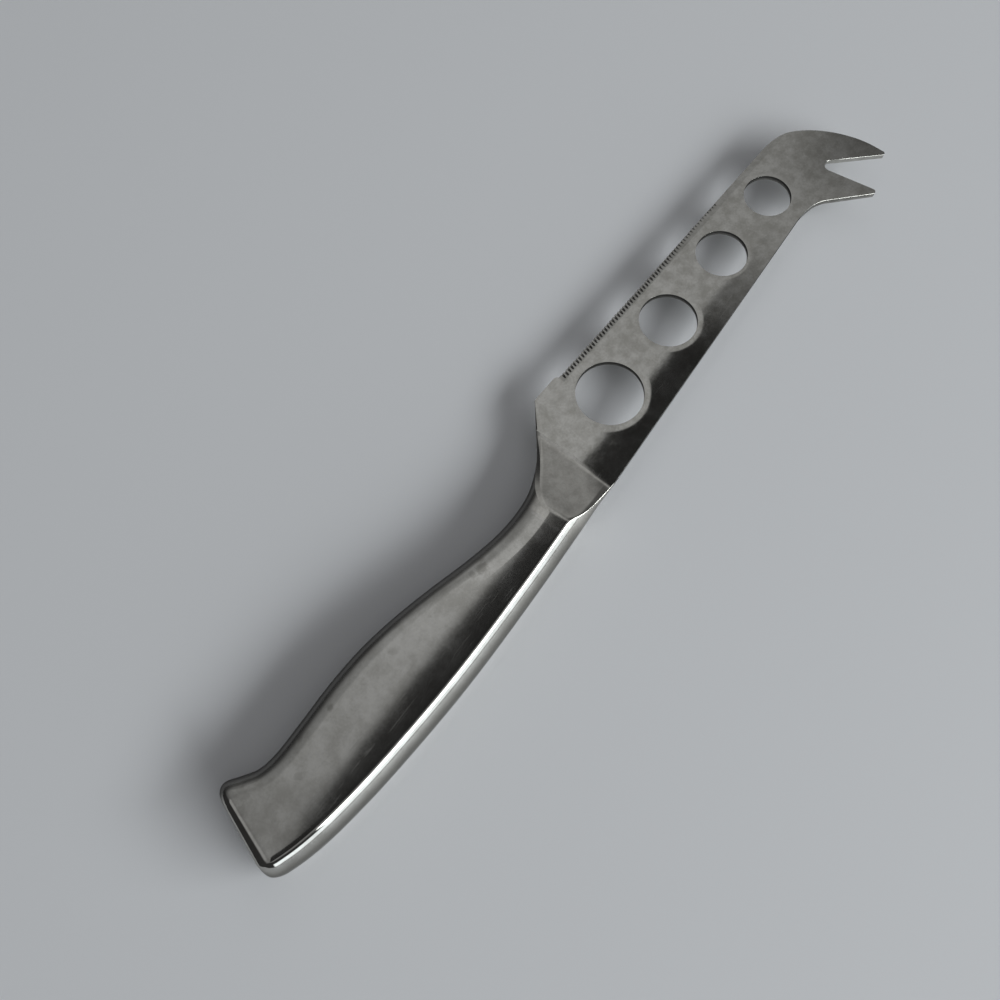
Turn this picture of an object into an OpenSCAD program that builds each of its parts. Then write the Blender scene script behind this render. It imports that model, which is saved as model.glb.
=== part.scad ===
// Cheese knife of bare steel, lying on its side with the cutting edge towards +Y.
// Sizes are measured from the blade's heel corner: x grows to the tip, y to the edge,
// and z is 0 halfway through the blade. place() then moves the knife onto its footprint.

/* [Blade] */
// Blade length, from the heel corner to the tip of the fork's upper prong
blade_len = 115.6; // [105:0.1:125]
// Blade width at its root, from the heel corner to the spine
blade_w = 28.1; // [25:0.1:31]
// How much the spine rises towards the edge between the root and the fork
spine_rise = 4; // [2:0.1:6]
// Thickness of the blade plate
blade_t = 1.5; // [1.2:0.1:2.4]
// How far the plate runs back from the heel corner to its welded root
blade_root = 6.3; // [5.5:0.1:8]
// How far the heel falls away from the edge line at the root
heel_fall = 5.1; // [4.6:0.1:6]

/* [Holes] */
// Radii of the four round holes, from the heel to the fork
hole_r = [8.6, 7.5, 6.8, 6.3]; // [4:0.1:9]
// Distance of the first hole's centre from the heel corner
first_hole_x = 12.7; // [11.5:0.1:14]
// Distance of the last hole's centre back from the tip
last_hole_back = 30.6; // [29:0.1:34]
// Distance of the hole centres from the heel corner, towards the spine
hole_y = 13.75; // [12.5:0.05:14.5]

/* [Cutting edge] */
// Length of the plain stretch beside the heel corner
plain_len = 7.6; // [5:0.1:9]
// Height of the step from the plain stretch down to the teeth
edge_step = 1; // [0.6:0.1:1.5]
// How much the toothed edge falls towards the spine along its length
edge_fall = 3.6; // [2:0.1:5]
// Distance between neighbouring teeth
tooth_pitch = 1.06; // [0.9:0.02:1.5]
// Number of teeth
tooth_count = 62; // [40:1:78]
// Depth of a gullet between two teeth
tooth_depth = 0.4; // [0.2:0.05:0.6]
// Width of the bevel that is ground on each face
bevel_w = 1.9; // [1.4:0.1:2.4]
// Thickness left at the very edge
edge_t = 0.4; // [0.3:0.05:0.8]

/* [Fork] */
// Length of the turned-down nose, from the last straight of the edge to the tip
nose_len = 18.6; // [16:0.1:22]
// How far the tip of the upper prong lies from the heel corner, towards the spine
prong_drop = 31.7; // [29:0.1:34]
// How far the lower prong's tip lies behind the upper one
tip_gap = 12; // [9:0.1:15]
// How far the lower prong's tip lies from the heel corner, towards the spine
lower_tip_y = 36; // [33:0.1:39]
// Radius at the root of the notch between the prongs
notch_r = 1.7; // [1:0.1:2.2]
// Distance of the notch's centre back from the tip
notch_back = 12.3; // [11.5:0.1:13.5]
// How far the notch's centre lies from the heel corner, towards the spine
notch_y = 22.2; // [21:0.1:23]
// Radius of the blunt prong tips
prong_tip_r = 0.6; // [0.4:0.05:0.8]

/* [Handle] */
// Handle length, from the heel corner back to the butt's furthest corner
handle_len = 123.6; // [110:0.1:135]
// Distance of the handle's lowest spine line from the heel corner
handle_depth = 30.25; // [28:0.05:33]
// Greatest thickness of the handle
handle_t = 12.8; // [11:0.1:15]
// Width of the sloping facet beside the spine
facet_w = 3; // [2.4:0.1:3.8]
// Width of the rounding beside the belly
belly_w = 6; // [4.5:0.1:8]
// Radius on the rim of the butt
butt_r = 2.6; // [1.5:0.1:3.5]
// Wall of the two pressed half shells
shell_wall = 1; // [0.8:0.05:1.5]

/* [Bolster and welds] */
// Distance from the heel corner back to the joint of bolster and shells
neck_x = 25; // [23:0.1:28]
// Radius of the scoop that thins the bolster down to the blade
scoop_r = 54; // [46:0.5:64]
// Angle at which the scoop leaves the blade's face
scoop_lead = 9.5; // [7:0.5:11]
// Length of the stub that plugs into the shells
stub_len = 8; // [5:0.5:14]
// Clearance round the stub
stub_gap = 0.15; // [0.05:0.05:0.3]
// Width of the ground weld seams
weld_w = 0.8; // [0.5:0.1:1.2]

/* [Hidden] */

steel = [0.52, 0.52, 0.50];
steel_dull = [0.45, 0.45, 0.43];
weld_steel = [0.60, 0.60, 0.58];
over = blade_t;                     // overrun of every cut
tooth_start = plain_len + edge_step * 1.8;
nose_start = blade_len - nose_len;
hole_shares = [0, 0.354, 0.694, 1];  // from the first hole's centre to the last one's
hole_x = [for (s = hole_shares) first_hole_x + s * (blade_len - last_hole_back - first_hole_x)];
edge_slope = edge_fall / (nose_start - tooth_start);
spine_slope = spine_rise / hole_x[3];
fork_x = hole_x[3] + hole_r[3] / 3;  // where the lower prong leaves the spine
curve_n = 10;

function mix(a, b, t) = a + (b - a) * t;
function bez(p, t) = p[0] * pow(1 - t, 3) + p[1] * 3 * t * pow(1 - t, 2)
    + p[2] * 3 * pow(t, 2) * (1 - t) + p[3] * pow(t, 3);
function edge_y(x) = -edge_step - (x - tooth_start) * edge_slope;
function spine_y(x) = -blade_w + x * spine_slope;
function arc(c, r, from, to, n) = [for (i = [0:n]) let (a = mix(from, to, i / n))
    [c[0] + r * cos(a), c[1] + r * sin(a)]];

// A smooth curve through the points p, with t running from 0 to len(p) - 1
function at(p, i) = p[max(0, min(len(p) - 1, i))];
function spline(p, t) = let (i = min(floor(t), len(p) - 2), f = t - i,
    a = at(p, i - 1), b = at(p, i), c = at(p, i + 1), d = at(p, i + 2))
    b + (c - a) * f / 2 + (a * 2 - b * 5 + c * 4 - d) * pow(f, 2) / 2
    + (b * 3 - a - c * 3 + d) * pow(f, 3) / 2;

// The blade's outline
heel_end = [for (i = [0:curve_n]) bez([[plain_len, -edge_step / 4],
    [plain_len + edge_step / 2, -edge_step / 3], [tooth_start - edge_step, -edge_step],
    [tooth_start, -edge_step]], i / curve_n)];
teeth = [for (i = [0:tooth_count - 1]) let (x = tooth_start + i * tooth_pitch)
    each [[x + tooth_pitch * 0.36, edge_y(x) - tooth_depth],
          [x + tooth_pitch * 0.64, edge_y(x) - tooth_depth],
          [x + tooth_pitch, edge_y(x + tooth_pitch)]]];
nose_mid = [blade_len - nose_len * 0.39, -prong_drop * 0.307];
nose_top = [for (i = [0:curve_n]) bez([[nose_start, edge_y(nose_start)],
    [nose_start + nose_len * 0.37, edge_y(nose_start) - nose_len * 0.02],
    nose_mid + [-nose_len * 0.12, nose_len * 0.13], nose_mid], i / curve_n)];
nose_front = [for (i = [1:curve_n]) bez([nose_mid, nose_mid + [nose_len * 0.19, -nose_len * 0.21],
    [blade_len, -prong_drop * 0.67], [blade_len, -prong_drop * 0.9]], i / curve_n)];
upper_tip = arc([blade_len - prong_tip_r, prong_tip_r - prong_drop], prong_tip_r, 0, -140, 6);
notch = arc([blade_len - notch_back, -notch_y], notch_r, 45, 190, 8);
lower_tip_r = prong_tip_r * 1.4;
lower_tip = arc([blade_len - tip_gap - lower_tip_r, lower_tip_r - lower_tip_y], lower_tip_r,
    -10, -135, 6);
fork_r = hole_r[3];
fork_back = [for (i = [0:curve_n]) bez([[fork_x + fork_r * 0.92, spine_y(fork_x) - fork_r * 0.45],
    [fork_x + fork_r * 0.65, spine_y(fork_x) - fork_r * 0.21],
    [fork_x + fork_r * 0.2, spine_y(fork_x) - fork_r * 0.05],
    [fork_x - fork_r * 0.5, spine_y(fork_x - fork_r * 0.5)]], i / curve_n)];
blade_outline = concat([[-blade_root, -heel_fall], [-edge_step / 2, -edge_step * 0.4],
    [edge_step / 2, 0]], heel_end, teeth, nose_top, nose_front, upper_tip, notch, lower_tip,
    fork_back, [[-blade_root, spine_y(-blade_root)]]);

// Outline of the handle and bolster, from the butt to the blade's root. Each row holds the
// belly point and the spine point of one section, as shares of the length and the depth.
section_shares = [
    [[0.941, 0.020], [1.000, 0.745]], [[0.919, 0.040], [0.967, 0.800]],
    [[0.894, 0.110], [0.930, 0.848]], [[0.866, 0.174], [0.886, 0.888]],
    [[0.825, 0.196], [0.833, 0.920]], [[0.761, 0.190], [0.761, 0.952]],
    [[0.680, 0.178], [0.680, 0.975]], [[0.599, 0.190], [0.599, 0.992]],
    [[0.518, 0.237], [0.518, 1.000]], [[0.437, 0.310], [0.437, 0.998]],
    [[0.356, 0.396], [0.356, 0.990]], [[0.283, 0.456], [0.283, 0.980]],
    [[0.227, 0.473], [0.227, 0.969]], [[0.178, 0.456], [0.178, 0.959]],
    [[0.137, 0.403], [0.137, 0.950]], [[0.097, 0.317], [0.097, 0.940]]];
// Half thickness at the same sections, as a share of half the greatest thickness
crown_shares = [0.97, 0.98, 0.99, 1, 1, 1, 1, 1, 0.99, 0.97, 0.94, 0.90, 0.87, 0.85, 0.84,
                0.83, 0.82];
section_n = len(section_shares);
belly_line = concat([for (s = section_shares) [-s[0][0] * handle_len, -s[0][1] * handle_depth]],
    [[-blade_root, -heel_fall]]);
spine_line = concat([for (s = section_shares) [-s[1][0] * handle_len, -s[1][1] * handle_depth]],
    [[-blade_root, spine_y(-blade_root)]]);

// Sections stand on the line from a belly point to a spine point. wall is the inset from the
// outer skin, and rim() insets it further towards the butt, which rounds the butt's rim.
// The two half sections stop short of the mid-plane, where the seam's weld fills the gap.
seam = weld_w / 2;
side_n = 8;
face_n = 3;
rim_n = 5;
rim_share = 0.9;                    // share of the first section in which the rim curves in
front_t = len(belly_line) - 1;
straight_t = 5;                     // from here to the blade the sections stand square to x
function rim(t) = t < rim_share ? butt_r * (1 - sin(acos(1 - t / rim_share))) : 0;
function crown(t) = min(1, spline(crown_shares, t)) * handle_t / 2;
function half_section(w, h, d) = let (fw = min(facet_w, w / 4),
    bw = min(belly_w, w / 2.2), top = h - d, ridge = [w - fw - d * 0.7, top],
    a = [[d, seam], [d, h * 0.62], [bw * 0.27 + d, top], [bw + d, top]],
    c = [ridge, ridge + [fw * 0.55, -fw * 0.5], [w - d, max(seam, top - fw * 1.05)],
         [w - d, seam]])
    concat([for (i = [0:side_n - 1]) bez(a, i / side_n)],
           [for (i = [0:face_n - 1]) mix(a[3], ridge, i / face_n)],
           [for (i = [0:side_n]) bez(c, i / side_n)]);
function on_line(t, m) = let (p = spline(belly_line, t), q = spline(spine_line, t),
    u = (q - p) / norm(q - p)) [for (v = m) [p[0] + u[0] * v[0], p[1] + u[1] * v[0], v[1]]];
function width(t) = norm(spline(spine_line, t) - spline(belly_line, t));
function half(t, wall) = half_section(width(t), crown(t), wall + rim(t));
function flipped(m) = [for (i = [len(m) - 1:-1:0]) [m[i][0], -m[i][1]]];
function ring(t, wall) = on_line(t, concat(half(t, wall), flipped(half(t, wall))));
function seam_points(t, wall) = let (m = half(t, wall)) on_line(t, [m[0], m[len(m) - 1]]);
function t_at(x, a = straight_t, b = front_t, n = 30) = let (m = (a + b) / 2) n == 0 ? m
    : spline(spine_line, m)[0] < x ? t_at(x, m, b, n - 1) : t_at(x, a, m, n - 1);

// Where the sections stand: on the butt's rim, along the handle, and at the joints
shell_end = t_at(-neck_x - seam);
bolster_start = t_at(-neck_x + seam);
bolster_end = t_at(-blade_root - weld_w);
stub_end = t_at(-neck_x - stub_len);
function steps(from, to, n) = [for (i = [0:n]) mix(from, to, i / n)];
rim_t = [for (i = [0:rim_n]) rim_share * (1 - cos(90 * i / rim_n))];
wall_t = shell_wall / norm(belly_line[1] - belly_line[0]);
shell_t = concat([for (t = rim_t) if (t < wall_t) t], [wall_t, wall_t * 1.1],
    [for (t = rim_t) if (t > wall_t * 1.2) t], steps(1, shell_end, 26));
back_x = min([for (t = rim_t, m = ring(t, 0)) m[0]]);
low_y = min([for (p = lower_tip) p[1]]);
high_y = max([for (p = blade_outline) p[1]]);

module place() {
    translate([-(back_x + blade_len) / 2, -(low_y + high_y) / 2, handle_t / 2]) children();
}

// A wall through a list of rings. The first half of each ring is its outer side and the
// second half is its inner side, read backwards. A closed one joins its ends.
module wall_skin(rings, closed = false) {
    n = len(rings[0]);
    k = len(rings);
    m = n / 2;
    function quad(a, b, c, d) = [[a, c, b], [a, d, c]];
    function next(i) = closed ? (i < m ? (i + 1) % m : m + (i + 1 - m) % m) : (i + 1) % n;
    function inner(i) = n - 1 - i;
    cap_n = closed ? m - 1 : m - 2;
    polyhedron([for (r = rings) each r], concat(
        [for (j = [0:k - 2], i = [0:n - 1]) let (a = j * n) each
            quad(a + i, a + next(i), a + n + next(i), a + n + i)],
        [for (i = [0:cap_n]) each quad(next(i), i, inner(i), inner(next(i)))],
        [for (i = [0:cap_n]) let (a = (k - 1) * n) each
            quad(a + i, a + next(i), a + inner(next(i)), a + inner(i))]), convexity = 4);
}
// A solid through a list of rings: each slice is the hull of two neighbouring rings
module slices(rings) {
    n = len(rings[0]);
    for (j = [0:len(rings) - 2]) hull()
        polyhedron(concat(rings[j], rings[j + 1]), [[for (i = [0:n * 2 - 1]) i]]);
}

module blade() color(steel) place() difference() {
    translate([0, 0, -blade_t / 2]) linear_extrude(blade_t) polygon(blade_outline);
    for (i = [0:3]) translate([hole_x[i], -hole_y, -blade_t])
        cylinder(r = hole_r[i], h = blade_t * 2, $fn = 96);
    translate([tooth_start, -edge_step, 0]) rotate([0, 0, -atan(edge_slope)])
        translate([-edge_step, 0, 0]) rotate([90, 0, 90]) linear_extrude(nose_start)
        for (side = [-1, 1])
            polygon([[-bevel_w, side * blade_t / 2], [-bevel_w, side * blade_t], [over, side * blade_t],
                     [over, side * edge_t / 2], [0, side * edge_t / 2]]);
}

// What the two scoops leave: a wedge with hollow flanks that runs out into the blade
module scoop_slab() {
    x0 = -blade_root;
    c = [x0 + scoop_r * sin(scoop_lead), blade_t / 2 + scoop_r * cos(scoop_lead)];
    back = 180 + acos((c[0] + neck_x + over) / scoop_r);
    flank = arc(c, scoop_r, 270 - scoop_lead, back, curve_n * 2);
    profile = concat([[x0, -blade_t / 2], [x0, blade_t / 2]], flank,
        [for (i = [len(flank) - 1:-1:0]) [flank[i][0], -flank[i][1]]]);
    rotate([90, 0, 0]) translate([0, 0, -over]) linear_extrude(lower_tip_y + over)
        polygon(profile);
}
module bolster() color(steel) place() {
    intersection() {
        slices([for (t = steps(bolster_start, bolster_end, 10)) ring(t, 0)]);
        scoop_slab();
    }
    slices([for (t = steps(stub_end, bolster_start + wall_t, 4)) ring(t, shell_wall + stub_gap)]);
}

// One pressed half of the hollow handle. Its section is solid across the butt's end wall.
module shell() {
    wall_skin([for (t = shell_t) let (o = half(t, 0), i = half(t, shell_wall), n = len(i),
        back = [for (j = [n - 1:-1:0]) [i[j][0], t > wall_t ? i[j][1] : seam]])
        on_line(t, concat(o, back))]);
}
module shell_upper() color(steel) place() shell();
module shell_lower() color(steel_dull) place() mirror([0, 0, 1]) shell();

// The seam between the shells is welded in three runs, ground flush, one shell wall deep
function flat(p) = [p[0], p[1]];
function seam_side(ts, wall, side) = [for (t = ts) flat(seam_points(t, wall)[side])];
function reversed(m) = [for (i = [len(m) - 1:-1:0]) m[i]];
module bead(outline) translate([0, 0, -seam]) linear_extrude(weld_w) polygon(outline);
module run(side) {
    ts = [for (t = shell_t) if (t >= 1) t];
    bead(concat(seam_side(ts, 0, side), reversed(seam_side(ts, shell_wall, side))));
}
module belly_weld() color(weld_steel) place() run(0);
module spine_weld() color(weld_steel) place() run(1);
module butt_weld() color(weld_steel) place() {
    ts = [for (t = shell_t) if (t <= 1) t];
    inner = [for (t = ts) if (t > wall_t) t];
    bead(concat(reversed(seam_side(ts, 0, 0)), seam_side(ts, 0, 1),
        reversed(seam_side(inner, shell_wall, 1)), seam_side(inner, shell_wall, 0)));
}
module neck_weld() color(weld_steel) place() {
    wall_skin([for (t = [shell_end, bolster_start])
        concat(ring(t, 0), reversed(ring(t, shell_wall)))], closed = true);
}
module blade_weld() color(weld_steel) place() {
    a = spline(belly_line, bolster_end);
    b = spline(spine_line, bolster_end);
    translate([0, 0, -blade_t / 2]) linear_extrude(blade_t) polygon([a, [-blade_root, -heel_fall],
        [-blade_root, spine_y(-blade_root)], b]);
}

blade();
bolster();
shell_upper();
shell_lower();
blade_weld();
neck_weld();
belly_weld();
butt_weld();
spine_weld();
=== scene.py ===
import math

import bmesh
import bpy
from mathutils import Matrix, Vector
from mathutils.geometry import tessellate_polygon


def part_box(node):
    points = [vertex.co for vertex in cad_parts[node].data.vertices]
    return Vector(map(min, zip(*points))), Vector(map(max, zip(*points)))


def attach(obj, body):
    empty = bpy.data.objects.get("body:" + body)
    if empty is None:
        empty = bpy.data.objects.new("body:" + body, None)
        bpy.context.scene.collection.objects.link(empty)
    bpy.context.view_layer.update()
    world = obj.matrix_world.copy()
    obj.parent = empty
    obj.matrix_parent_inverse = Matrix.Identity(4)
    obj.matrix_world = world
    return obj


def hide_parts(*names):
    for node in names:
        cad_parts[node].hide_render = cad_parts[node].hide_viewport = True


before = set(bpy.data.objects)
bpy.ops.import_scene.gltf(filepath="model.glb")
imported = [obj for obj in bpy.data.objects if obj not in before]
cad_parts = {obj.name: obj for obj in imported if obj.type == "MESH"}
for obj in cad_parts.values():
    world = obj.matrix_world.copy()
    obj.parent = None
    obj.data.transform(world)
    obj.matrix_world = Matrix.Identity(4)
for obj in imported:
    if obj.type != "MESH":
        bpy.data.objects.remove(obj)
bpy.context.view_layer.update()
mm = 0.001

# Camera, at the photograph's place and angle
photoCamera = {
    "place": (-0.08243, -0.0425, 0.23295),
    "forward": (0.2511, 0.2149, -0.9438),
    "up": (0.7531, 0.5690, 0.3300),
    "lens": 36,
    "sensor": 36,
    "clip": (0.01, 50),
}


def addCamera(look):
    data = bpy.data.cameras.new("photoCamera")
    data.lens = look["lens"]
    data.sensor_width = look["sensor"]
    data.clip_start, data.clip_end = look["clip"]
    camera = bpy.data.objects.new("photoCamera", data)
    forward = Vector(look["forward"]).normalized()
    right = forward.cross(Vector(look["up"])).normalized()
    up = right.cross(forward)
    turn = Matrix((right, up, -forward)).transposed().to_4x4()
    camera.matrix_world = Matrix.Translation(look["place"]) @ turn
    bpy.context.scene.collection.objects.link(camera)
    bpy.context.scene.camera = camera


addCamera(photoCamera)
bpy.context.scene.view_settings.view_transform = "Standard"
print("camera: in place")


# A node's output on which sums can be written. put() adds any other node.
class Signal:
    def __init__(self, tree, socket=None):
        self.tree = tree
        self.socket = socket

    def put(self, kind, settings=None, inputs=None, output=0):
        node = self.tree.nodes.new(kind)
        for key, value in (settings or {}).items():
            if key == "stops":
                self.setStops(node.color_ramp, value)
            else:
                setattr(node, key, value)
        for key, value in (inputs or {}).items():
            if isinstance(value, Signal):
                self.tree.links.new(value.socket, node.inputs[key])
            else:
                node.inputs[key].default_value = value
        return Signal(self.tree, node.outputs[output])

    def setStops(self, ramp, stops):
        while len(ramp.elements) < len(stops):
            ramp.elements.new(1)
        for element, (position, tone) in zip(ramp.elements, stops):
            element.position = position
            element.color = (tone, tone, tone, 1)

    def math(self, operation, *values):
        inputs = dict(enumerate(values))
        return self.put("ShaderNodeMath", {"operation": operation}, inputs)

    def __add__(self, other):
        return self.math("ADD", self, other)

    def __radd__(self, other):
        return self.math("ADD", other, self)

    def __sub__(self, other):
        return self.math("SUBTRACT", self, other)

    def __rsub__(self, other):
        return self.math("SUBTRACT", other, self)

    def __mul__(self, other):
        return self.math("MULTIPLY", self, other)

    def __rmul__(self, other):
        return self.math("MULTIPLY", other, self)

    def __truediv__(self, other):
        return self.math("DIVIDE", self, other)

    def __rtruediv__(self, other):
        return self.math("DIVIDE", other, self)

    def __pow__(self, other):
        return self.math("POWER", self, other)

    def least(self, other):
        return self.math("MINIMUM", self, other)

    def most(self, other):
        return self.math("MAXIMUM", self, other)

    def size(self):
        return self.math("ABSOLUTE", self)

    # 0 at low, 1 at high, and smooth between them; low may be the larger one
    def rise(self, low, high):
        inputs = {"Value": self, "From Min": low, "From Max": high}
        return self.put("ShaderNodeMapRange", {"interpolation_type": "SMOOTHSTEP"}, inputs)

    # The colour a where this is 0 and the colour b where it is 1
    def blend(self, a, b):
        inputs = {"Factor": self, 6: a, 7: b}
        return self.put("ShaderNodeMix", {"data_type": "RGBA"}, inputs, 2)

    def part(self, axis):
        return self.put("ShaderNodeSeparateXYZ", None, {"Vector": self}, axis)

    def vector(self, x, y, z):
        return self.put("ShaderNodeCombineXYZ", None, {"X": x, "Y": y, "Z": z})

    # Noise over this place, with spots of the given size; stretch thins or lengthens them by axis
    def noise(self, spot, detail=2, rough=0.5, stretch=(1, 1, 1), turn=0, shift=0):
        scaled = self.put("ShaderNodeMapping", None, {
            "Vector": self, "Scale": [1 / (spot * part) for part in stretch],
            "Rotation": (0, 0, math.radians(turn)), "Location": (shift, shift, shift)})
        return self.put("ShaderNodeTexNoise", None, {
            "Vector": scaled, "Scale": 1, "Detail": detail, "Roughness": rough})


# Room: a grey ceiling with one dark patch, darker walls and a low wide window
room = {
    # the ceiling's tone over a stretch of x / z of a direction, which runs from 0 to 1
    "ceiling": ((0.1, 0.25), (0.233, 0.32), (0.4, 0.43), (0.513, 0.56),
                (0.6, 0.47), (0.733, 0.43), (0.9, 0.36)),
    "ceilingStretch": (-0.5, 1.0),
    "horizon": 0.02,  # the least height that a direction counts with
    "tint": (0.985, 1.0, 1.015, 1),
    "wall": 0.08,
    "wallTop": (0.25, 0.9),  # heights between which the wall gives way to the ceiling
    "farWall": 0.24,  # the wall towards +X
    "farWallFade": (0.1, 0.8),
    "behind": 0.04,  # the wall towards -X
    "behindFade": (-0.45, -0.8),
    # the dark patch: its edge and soft border as y / z of a direction, its sides as x / z
    "patchTone": 0.03,
    "patchEdge": 0.182,
    "patchSoft": 0.004,
    "patchDepth": 0.4,
    "patchFull": 0.6,  # the share of its depth at which it is fully dark
    "patchSides": (-0.55, 0.77),
    "patchFades": (0.2, 0.24),
    "lowFade": (0.1, 0.3),  # heights between which the patch and the glow come up
    "floorTone": (0.74, 0.745, 0.76, 1),
    "floorRoughness": 0.6,
    "floorSize": 2.4,
    # what the scoop shows: tone, y / z and x / z
    "scoopShade": 0.1,
    "scoopShadeAlong": (0.25, 0.17),
    "scoopShadeAcross": (0.72, 0.95),
    # the glow that the rounded rims towards -X and +Y pick up, as x / z, y / z and its width
    "glow": (-0.5, 0.5, 0.28),
    "glowTone": 0.45,
    "glowCore": 0.5,
    # the low window towards -Y, which the facet shows: x / -y at its sides, z / -y at its foot and head
    "windowTone": 1.75,
    "windowTint": (0.93, 1.0, 1.05, 1),
    "windowSides": (-0.95, 0.7),
    "windowFade": 0.2,
    "windowRise": (-0.03, 0.13, 0.3, 0.36),
    # how much of its tone the ceiling keeps towards +Y: beyond the handle, beyond the blade
    "farCeiling": (0.72, 1.25),
    "farCeilingFade": (0.24, 0.62),
    "farCeilingSides": (0.4, 0.7),
    # the lamp above the window: place, width and height, power and tint
    "lampPlace": (0.52, -2.2, 1.18),
    "lampSize": (2.9, 0.8),
    "lampPower": 60.0,
    "lampTint": (0.94, 0.98, 1.0),
}


def addCeiling(look):
    world = bpy.data.worlds.new("room")
    bpy.context.scene.world = world
    world.use_nodes = True
    tree = world.node_tree
    tree.nodes.clear()
    start = Signal(tree)
    direction = start.put("ShaderNodeTexCoord", output=0)
    dx = direction.part(0)
    dz = direction.part(2)
    high = dz.most(look["horizon"])
    across = dx / high
    along = direction.part(1) / high
    first, last = look["ceilingStretch"]
    ceiling = start.put("ShaderNodeValToRGB", {"stops": look["ceiling"]}, {
        "Fac": (across - first) / (last - first)})
    near, far = look["farCeiling"]
    kept = near - 1 + across.rise(*look["farCeilingSides"]) * (far - near)
    ceiling = ceiling * (1 + along.rise(*look["farCeilingFade"]) * kept)
    wall = look["wall"] + (look["farWall"] - look["wall"]) * dx.rise(*look["farWallFade"])
    tone = wall + (ceiling - wall) * dz.rise(*look["wallTop"])
    tone = tone + (look["behind"] - tone) * across.rise(*look["behindFade"])

    edge, soft, depth = look["patchEdge"], look["patchSoft"], look["patchDepth"]
    left, right = look["patchSides"]
    leftFade, rightFade = look["patchFades"]
    patch = along.rise(edge + soft, edge - soft)
    patch = patch * along.rise(edge - depth, edge - depth * look["patchFull"])
    patch = patch * across.rise(left, left + leftFade) * across.rise(right, right - rightFade)
    above = dz.rise(*look["lowFade"])
    tone = tone + (look["patchTone"] - tone) * patch * above

    centreX, centreY, width = look["glow"]
    away = ((across - centreX) ** 2 + (along - centreY) ** 2) ** 0.5
    tone = tone + (look["glowTone"] - tone) * away.rise(width, width * look["glowCore"]) * above
    low = along.rise(*look["scoopShadeAlong"]) * across.rise(*look["scoopShadeAcross"])
    tone = tone + (look["scoopShade"] - tone) * low

    facing = (direction.part(1) * -1).most(look["horizon"])
    left, right = look["windowSides"]
    border = look["windowFade"]
    window = (dx / facing).rise(left, left + border) * (dx / facing).rise(right, right - border)
    foot, full, fade, head = look["windowRise"]
    window = window * (dz / facing).rise(foot, full) * (dz / facing).rise(head, fade)
    tone = tone + (look["windowTone"] - tone) * window
    sky = start.put("ShaderNodeBackground", None, {
        "Color": window.blend(look["tint"], look["windowTint"]), "Strength": tone})
    output = tree.nodes.new("ShaderNodeOutputWorld")
    tree.links.new(sky.socket, output.inputs["Surface"])


def addFloor(look):
    material = bpy.data.materials.new("floorMatte")
    material.use_nodes = True
    surface = material.node_tree.nodes["Principled BSDF"]
    surface.inputs["Base Color"].default_value = look["floorTone"]
    surface.inputs["Roughness"].default_value = look["floorRoughness"]
    half = look["floorSize"] / 2
    corners = [(-half, -half, 0), (half, -half, 0), (half, half, 0), (-half, half, 0)]
    mesh = bpy.data.meshes.new("floor")
    mesh.from_pydata(corners, [], [(0, 1, 2, 3)])
    mesh.materials.append(material)
    floor = bpy.data.objects.new("floor", mesh)
    bpy.context.scene.collection.objects.link(floor)


def addLamp(look):
    data = bpy.data.lights.new("skylight", "AREA")
    data.shape = "RECTANGLE"
    data.size, data.size_y = look["lampSize"]
    data.energy = look["lampPower"]
    data.color = look["lampTint"]
    lamp = bpy.data.objects.new("skylight", data)
    turn = (-Vector(look["lampPlace"])).to_track_quat("-Z", "Y").to_matrix().to_4x4()
    lamp.matrix_world = Matrix.Translation(look["lampPlace"]) @ turn
    bpy.context.scene.collection.objects.link(lamp)


addCeiling(room)
addFloor(room)
addLamp(room)
print("room: floor, lamp, window and ceiling are in place")

# Blade: the plate, its four holes, the saw edge and the fork
blade = {
    "length": 115.6,
    "width": 28.1,
    "spineRise": 4.0,
    "root": 6.3,
    "heelFall": 5.1,
    "holeRadii": (8.6, 7.5, 6.8, 6.3),
    "holeShares": (0, 0.354, 0.694, 1),
    "firstHole": 12.7,
    "lastHoleBack": 30.6,
    "holeDepth": 13.75,
    "plain": 7.6,
    "step": 1.0,
    "edgeFall": 3.6,
    "bevel": 1.9,
    "edgeLeft": 0.4,
    "nose": 18.6,
    "noseMiddle": (0.39, 0.307),  # where the nose's two curves meet, as shares of its length and drop
    "prongDrop": 31.7,
    "tipGap": 12.0,
    "lowerTip": 36.0,
    "notchRadius": 1.7,
    "notchBack": 12.3,
    "notchDepth": 22.2,
    "tipRadius": 0.6,
    "edgeSteps": 60,
    "holeSides": 144,
    # small bevels on the rim of the outline and of the holes
    "rimBevel": 0.015,
    "heelBevel": 0.3,
    "forkBevel": 0.035,
    "forkBevelFrom": (88, -20),  # towards the tip and towards the spine
    "forkBevelTo": 114,
    "holeBevel": 0.0015,
    "sharp": 20,  # edges over this angle stay crisp
    # Saw edge: round grooves across the bevel, which the wheel left shallower towards the tip
    "toothPitch": 1.06,
    "toothCount": 62,
    "grooveRadius": 0.31,
    "grooveSides": 14,
    "grooveLength": 2.7,
    "grooveMiddle": 0.18,  # where the groove's middle lies, as a share of the bevel's width
    "grooveDrop": 0.06,  # how far the groove's axis lies below the bevel there
    "grooveTilt": 10.0,  # how much steeper than the bevel the groove runs, in degrees
    "grooveSlant": 15.0,
    "grooveJitter": 0.03,
    "fadeFrom": 34.0,  # where the grooves start to run shallower, along the edge
    "fadeTo": 60.0,
    "fadeLift": 0.3,
    "seed": 4,
    "wheelSize": (8.0, 3.0),  # the grinding wheel across the bevel, and its height
    "wheelInside": 1.5,  # how far it reaches into the blade from the bevel's inner line
    "wheelPast": 9.0,  # how far it runs on past the last straight of the edge
    "sawSharp": 10,
}
bladeLow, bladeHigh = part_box("blade")
bladeThickness = (bladeHigh.z - bladeLow.z) / mm
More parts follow.
